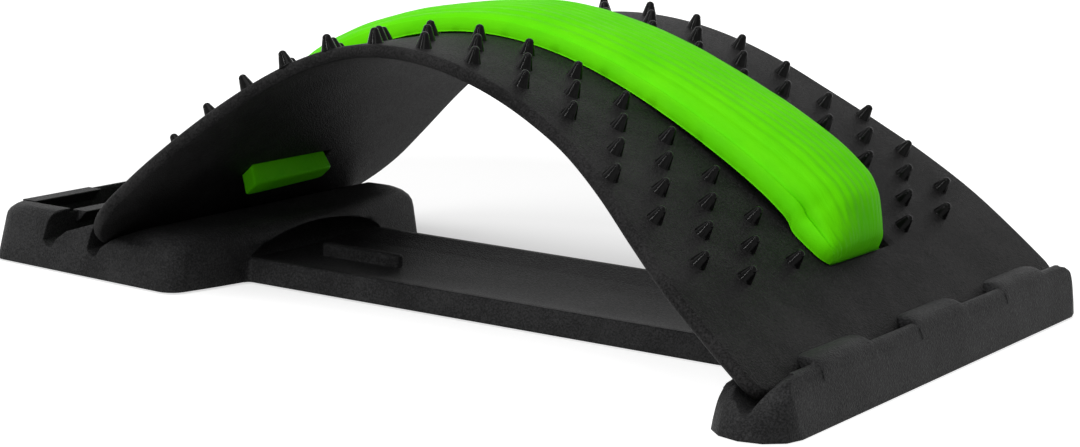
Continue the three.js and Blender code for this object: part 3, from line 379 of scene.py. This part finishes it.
def pad_surface(material):
    """Soft strip over the arch: rows run from the rear slot to the front slot, v runs across. Each
    section is a plain side strip that leans in, a drawn-in seam and a crown that is a flattened arch
    with shallow ribs. Towards its ends the strip lifts off the board, thickens and rolls over into
    the slot, where the seam folds in and the crown gathers in puckers. The underside is one strip."""
    s, opening = pad_rows()
    full = opening[:, None]
    low = PAD_LIFT + pad_form(s, LIFT)[:, None]
    top = low + (pad_form(s, TOP)[:, None] - low) * full
    right_half, left_half = pad_form(s, RIGHT_HALF)[:, None], pad_form(s, LEFT_HALF)[:, None]
    to_end = np.minimum(s - PAD_REAR, PAD_FRONT - s)[:, None]
    thick = top - low
    crease = CREASE * np.exp(-((to_end - CREASE_AT) / CREASE_SPREAD) ** 2) * full

    # Side strip: the seam's height eases off to a share of the thickness where the pad is thin
    side = low + PAD_SEAM * thick / (thick ** 4 + (PAD_SEAM / PAD_THIN_SEAM) ** 4) ** 0.25
    strip = np.array([0.0, 0.12, 0.32, 0.55, 0.76, 0.9, 0.97, 1.0])
    swell = PAD_SWELL * np.sin(strip * math.pi) ** 0.7
    drawn_in = PAD_LEAN * full * strip - swell * full + crease * strip ** 5
    strip_z = low + (side - low) * strip

    # Crown: flatter on top than an ellipse, and softer on the right where the pad is thick
    v = np.linspace(-1, 1, PAD_COLUMNS)
    soft = np.clip((thick - 11) / 6, 0, 1) * np.clip(0.5 - v, 0, 1)
    crown = (top - side) * (1 - abs(v) ** (3.6 - 0.7 * soft)) ** (1 - 0.2 * soft)
    shoulder = np.clip((1 - abs(v)) / PAD_SHOULDER, 0, 1) ** 0.5
    valley = (PAD_VALLEY + 0.5 * crease) * full * (1 - 0.8 * np.exp(-(to_end / NOSE_SPREAD) ** 2))
    crown_z = side - valley * (1 - shoulder) + crown + pad_relief(s[:, None], v, to_end) * full
    tuck = (PAD_LEAN + PAD_TUCK) * full + crease * abs(v) ** 40
    crown_y = (np.where(v < 0, right_half, left_half) - tuck) * v

    y = np.concatenate([drawn_in - right_half, crown_y, (left_half - drawn_in)[:, ::-1]], 1)
    height = np.concatenate([strip_z, crown_z, strip_z[:, ::-1]], 1)
    rows, columns = y.shape
    over = on_arch(s[:, None], y, height)
    under = on_arch(s[:, None], y[:, [0, -1]] * 0.985, low + 0.02)
    points = np.concatenate([over.reshape(-1, 3), under.reshape(-1, 3)])
    count = rows * columns
    above = np.arange(count).reshape(rows, columns).tolist()
    below = np.arange(count, count + 2 * rows).reshape(rows, 2).tolist()
    faces = [face[::-1] for face in grid_faces(rows, columns)] + grid_faces(rows, 2, start=count)
    for i in range(rows - 1):
        faces.append([above[i][0], above[i + 1][0], below[i + 1][0], below[i][0]])
        faces.append([above[i + 1][-1], above[i][-1], below[i][1], below[i + 1][1]])
    faces += [above[-1] + below[-1][::-1], above[0][::-1] + below[0]]
    return make_piece("pad", at_home(points), faces, material)


def pad_tail(name, slot, material, reach, sink=0.0, lean=0.0, skew=0.0):
    """End of the pad under the board: a flat-ended block pushed through the slot. A superellipse in
    plan turns over the tip with a small round. Where the pad's end is narrower than the slot, its
    left side starts sunk in the slot. Below the board it may lean to the rear and turn, so that its
    right side ends further to the rear than its left."""
    middle = slot + SLOT_LENGTH / 2
    turn = np.linspace(0, 2 * math.pi, TAIL_STEPS)[:-1]
    plan_s = np.sign(np.cos(turn)) * abs(np.cos(turn)) ** TAIL_CORNER_POWER
    plan_y = np.sign(np.sin(turn)) * abs(np.sin(turn)) ** TAIL_CORNER_POWER
    bend = np.linspace(0, 1, 5) * math.pi / 2
    tip = -THICK - reach
    drop = np.r_[TAIL_TOP, -THICK, -THICK - reach * 0.45, tip + TAIL_ROUND * (1 - np.sin(bend))][:, None]
    inset = np.r_[0, 0, 0, TAIL_ROUND * (1 - np.cos(bend))][:, None]
    half_y = SLOT_WIDTH / 2 - TAIL_GAP_ACROSS
    y = (half_y - inset) * plan_y
    turned = np.clip((-THICK - drop) / reach, 0, 1)
    s = (middle + (SLOT_LENGTH / 2 - TAIL_GAP_ALONG - inset) * plan_s
         + turned * (skew * y / half_y - lean))
    height = drop + 0 * s
    height[0] -= sink * (y[0] > TAIL_SUNK_FROM)
    shell = square_on(middle, s, y, height).reshape(-1, 3)
    points = np.concatenate([on_arch([middle], 0, TAIL_TOP), shell, on_arch([middle], 0, tip)])
    rows, columns = s.shape
    faces = grid_faces(rows, columns, wrap=True, start=1)
    ring = 1 + (rows - 1) * columns
    for j in range(columns):
        k = (j + 1) % columns
        faces += [[1 + k, 1 + j, 0], [ring + j, ring + k, 1 + rows * columns]]
    return make_piece(name, at_home(points), [face[::-1] for face in faces], material)


# Materials. Every texture reads the object's own coordinates in metres

def new_material(name):
    """Empty material with its nodes, its links and its Principled shader."""
    material = bpy.data.materials.new(name)
    material.use_nodes = True
    nodes = material.node_tree.nodes
    return material, nodes, material.node_tree.links, nodes["Principled BSDF"]


def math_node(nodes, links, operation, first, second=None, factor=None):
    """Sum, product or larger of two outputs, or an output times a factor plus another output."""
    node = nodes.new("ShaderNodeMath")
    node.operation = operation
    links.new(first, node.inputs[0])
    if factor is not None:
        node.inputs[1].default_value = factor
    if second is not None:
        links.new(second, node.inputs[1 if factor is None else 2])
    return node.outputs[0]


def bumped(nodes, links, shader, height, strength, depth):
    """Bump of the shader's normal by a height, its depth in metres."""
    bump = nodes.new("ShaderNodeBump")
    bump.inputs["Strength"].default_value = strength
    bump.inputs["Distance"].default_value = depth
    links.new(height, bump.inputs["Height"])
    links.new(bump.outputs["Normal"], shader.inputs["Normal"])
    return bump


def noise(nodes, links, source, scale, detail=4.0, roughness=0.6):
    """Noise at so many features per metre."""
    texture = nodes.new("ShaderNodeTexNoise")
    texture.inputs["Scale"].default_value = scale
    texture.inputs["Detail"].default_value = detail
    texture.inputs["Roughness"].default_value = roughness
    links.new(source, texture.inputs["Vector"])
    return texture.outputs["Fac"]


def remap(nodes, links, value, low, high, to_low, to_high):
    """Value from low to high laid on to_low to to_high, and held at both ends."""
    ranged = nodes.new("ShaderNodeMapRange")
    for key, number in (("From Min", low), ("From Max", high), ("To Min", to_low), ("To Max", to_high)):
        ranged.inputs[key].default_value = number
    links.new(value, ranged.inputs["Value"])
    return ranged.outputs["Result"]


def tint(nodes, links, value, dark, light):
    """Colour from dark to light as the value goes from 0 to 1."""
    mix = nodes.new("ShaderNodeMix")
    mix.data_type = "RGBA"
    mix.inputs[6].default_value = (*dark, 1)
    mix.inputs[7].default_value = (*light, 1)
    links.new(value, mix.inputs[0])
    return mix.outputs[2]


def moulded_plastic(name, dark, light, rough, grain, depth, rounding=0.0, specular=0.5):
    """Black moulded plastic: a pebbled spark-eroded grain in the bump, the same fine grain over slow
    clouds in the colour, and a gloss that varies as with a faint dust. Edges can look rounded by a
    small radius in metres."""
    material, nodes, links, shader = new_material(name)
    place = nodes.new("ShaderNodeTexCoord").outputs["Object"]
    cloud = noise(nodes, links, place, 34, 5)
    dust = noise(nodes, links, place, 900, 3)
    fine = noise(nodes, links, place, grain * 0.9, 3)
    shade = math_node(nodes, links, "MULTIPLY_ADD", fine, cloud, factor=1.6)
    links.new(tint(nodes, links, remap(nodes, links, shade, 1.1, 1.58, 0, 1), dark, light),
              shader.inputs["Base Color"])
    links.new(remap(nodes, links, dust, 0.3, 0.7, rough - 0.06, rough + 0.08), shader.inputs["Roughness"])
    shader.inputs["Specular IOR Level"].default_value = specular
    pebble = nodes.new("ShaderNodeTexVoronoi")
    pebble.inputs["Scale"].default_value = grain
    links.new(place, pebble.inputs["Vector"])
    height = math_node(nodes, links, "ADD", pebble.outputs["Distance"], fine)
    bump = bumped(nodes, links, shader, height, 0.55, depth)
    if rounding:
        edge = nodes.new("ShaderNodeBevel")
        edge.samples = 6
        edge.inputs["Radius"].default_value = rounding
        links.new(edge.outputs["Normal"], bump.inputs["Normal"])
    return material


def green_foam():
    """Bright green skinned foam: a soft satin skin in slow clouds of two greens, with a fine wrinkle
    that runs along the strip and a finer skin over it."""
    material, nodes, links, shader = new_material("green_foam")
    place = nodes.new("ShaderNodeTexCoord").outputs["Object"]
    cloud = noise(nodes, links, place, 40, 4)
    stretch = nodes.new("ShaderNodeMapping")
    stretch.inputs["Scale"].default_value = (0.25, 1.6, 0.25)
    links.new(place, stretch.inputs["Vector"])
    wrinkle = noise(nodes, links, stretch.outputs["Vector"], 420, 5, 0.55)
    skin = noise(nodes, links, place, 1500, 2)
    links.new(tint(nodes, links, remap(nodes, links, cloud, 0.3, 0.7, 0, 1),
                   (0.08, 0.52, 0.001), (0.108, 0.59, 0.0015)), shader.inputs["Base Color"])
    links.new(remap(nodes, links, wrinkle, 0.3, 0.7, 0.42, 0.58), shader.inputs["Roughness"])
    shader.inputs["Specular IOR Level"].default_value = 0.03
    height = math_node(nodes, links, "MULTIPLY_ADD", skin, wrinkle, factor=0.25)
    bumped(nodes, links, shader, height, 0.5, 0.0004)
    return material


base_plastic = moulded_plastic(
    "base_plastic", dark=(0.008, 0.008, 0.0083), light=(0.027, 0.027, 0.0275),
    rough=0.5, grain=1500, depth=0.0003, rounding=0.001, specular=0.06)
board_plastic = moulded_plastic(
    "board_plastic", dark=(0.004, 0.004, 0.004), light=(0.0185, 0.018, 0.0183),
    rough=0.5, grain=1500, depth=0.0003, specular=0.04)
nub_plastic = moulded_plastic(
    "nub_plastic", dark=(0.003, 0.003, 0.003), light=(0.005, 0.005, 0.005),
    rough=0.08, grain=900, depth=0.0000005, specular=0.055)
foot_rubber = moulded_plastic(
    "foot_rubber", dark=(0.012, 0.012, 0.012), light=(0.018, 0.018, 0.018),
    rough=0.75, grain=800, depth=0.0001)
foam = green_foam()


# Pieces

def smooth_copy(name, node, material):
    """The node's own surface with its doubled corners merged and its flat faces joined, shaded as one
    curved skin wherever two faces meet at less than the sharp angle."""
    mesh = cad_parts[node].data.copy()
    shell = bmesh.new()
    shell.from_mesh(mesh)
    bmesh.ops.remove_doubles(shell, verts=shell.verts, dist=MERGE_DISTANCE)
    bmesh.ops.dissolve_limit(shell, angle_limit=math.radians(FLAT_ANGLE), verts=shell.verts,
                             edges=shell.edges)
    shell.to_mesh(mesh)
    shell.free()
    mesh.name = name
    mesh.polygons.foreach_set("use_smooth", np.ones(len(mesh.polygons), bool))
    mesh.set_sharp_from_angle(angle=math.radians(SHARP_ANGLE))
    mesh.materials.clear()
    mesh.materials.append(material)
    piece = bpy.data.objects.new(name, mesh)
    bpy.context.scene.collection.objects.link(piece)
    weighted = piece.modifiers.new("weighted", "WEIGHTED_NORMAL")
    weighted.keep_sharp = True
    return piece


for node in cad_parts:
    if node.startswith("foot_"):
        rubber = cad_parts[node].data.materials
        rubber.clear()
        rubber.append(foot_rubber)

moulding = smooth_copy("base_moulding", "base_frame", base_plastic)
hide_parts("base_frame")
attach(moulding, "base")

plate = board_plate(board_plastic)
pegs = nubs(nub_plastic)
for piece in (plate, pegs):
    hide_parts("arch_board")
    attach(piece, "arch")

pad = pad_surface(foam)
tails = [pad_tail("pad_tail_rear", REAR_SLOT, foam, reach=7.0, lean=2.4, skew=1.4),
         pad_tail("pad_tail_front", FRONT_SLOT, foam, reach=8.8, sink=3.2)]
for piece in (pad, *tails):
    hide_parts("foam_pad")
    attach(piece, "arch")


# Stage and light

# The floor's white grows from GLOW_LOW to GLOW_HIGH between two distances from the shadow, in metres
SHADOW_CENTRE, GLOW_NEAR, GLOW_FAR, GLOW_LOW, GLOW_HIGH = (-0.1, 0.16, 0), 0.14, 0.42, 0.5, 0.96
FLOOR_HALF = 6.0
SURROUND_STRENGTH = 0.28


def seen_white(nodes, links):
    """1 for a ray of the camera, of a gloss or through glass, 0 for the rays that light the object."""
    path = nodes.new("ShaderNodeLightPath")
    seen = path.outputs["Is Camera Ray"]
    for other in ("Is Glossy Ray", "Is Transmission Ray"):
        seen = math_node(nodes, links, "MAXIMUM", seen, path.outputs[other])
    return seen


def stage():
    """Plain pale floor: a matt grey to the light and white to the camera. The white is a little
    weaker behind the object, where the floor shows its shadow, and full from GLOW_FAR metres on."""
    material, nodes, links, shader = new_material("pale_floor")
    shader.inputs["Base Color"].default_value = (0.5, 0.5, 0.5, 1)
    shader.inputs["Roughness"].default_value = 1
    shader.inputs["Specular IOR Level"].default_value = 0
    away = nodes.new("ShaderNodeVectorMath")
    away.operation = "DISTANCE"
    away.inputs[1].default_value = SHADOW_CENTRE
    links.new(nodes.new("ShaderNodeTexCoord").outputs["Object"], away.inputs[0])
    white = remap(nodes, links, away.outputs["Value"], GLOW_NEAR, GLOW_FAR, GLOW_LOW, GLOW_HIGH)
    glow = nodes.new("ShaderNodeEmission")
    glow.inputs["Color"].default_value = (1, 1, 1, 1)
    seen = math_node(nodes, links, "MULTIPLY", white, seen_white(nodes, links))
    links.new(seen, glow.inputs["Strength"])
    both = nodes.new("ShaderNodeAddShader")
    links.new(shader.outputs["BSDF"], both.inputs[0])
    links.new(glow.outputs["Emission"], both.inputs[1])
    links.new(both.outputs["Shader"], nodes["Material Output"].inputs["Surface"])
    corners = np.array([[-1, -1, 0], [1, -1, 0], [1, 1, 0], [-1, 1, 0]])
    floor = make_piece("floor", corners * FLOOR_HALF, [], material, flat=[[0, 1, 2, 3]])


def lamp(name, place, target, size, power):
    """Rectangular lamp at a place, turned to a target: metres and watts."""
    data = bpy.data.lights.new(name, "AREA")
    data.shape = "RECTANGLE"
    data.size, data.size_y = size
    data.energy = power
    light = bpy.data.objects.new(name, data)
    light.location = place
    light.rotation_euler = (Vector(target) - Vector(place)).to_track_quat("-Z", "Y").to_euler()
    bpy.context.scene.collection.objects.link(light)


stage()
lamp("key", (0.1, -0.35, 1.65), (0, 0, 0.05), (1.3, 1.1), 14.8)
lamp("fill", (0.78, -1.15, 0.95), (0, 0, 0.05), (0.5, 0.9), 5.5)
lamp("strip", (-0.2, -1.25, 0.75), (0, 0, 0.08), (0.05, 1.1), 12)
lamp("side", (-1.3, -0.5, 0.8), (0, 0, 0.05), (1.0, 0.8), 3)


def studio():
    """Even grey light from all round, and plain white where the camera or a gloss looks past it."""
    world = bpy.data.worlds.new("studio")
    world.use_nodes = True
    bpy.context.scene.world = world
    nodes, links = world.node_tree.nodes, world.node_tree.links
    soft = nodes["Background"]
    soft.inputs["Color"].default_value = (1, 1, 1, 1)
    soft.inputs["Strength"].default_value = SURROUND_STRENGTH
    white = nodes.new("ShaderNodeBackground")
    white.inputs["Color"].default_value = (1, 1, 1, 1)
    white.inputs["Strength"].default_value = 1
    choose = nodes.new("ShaderNodeMixShader")
    links.new(seen_white(nodes, links), choose.inputs["Fac"])
    links.new(soft.outputs["Background"], choose.inputs[1])
    links.new(white.outputs["Background"], choose.inputs[2])
    links.new(choose.outputs["Shader"], nodes["World Output"].inputs["Surface"])


studio()

bpy.context.scene.view_settings.view_transform = "Standard"
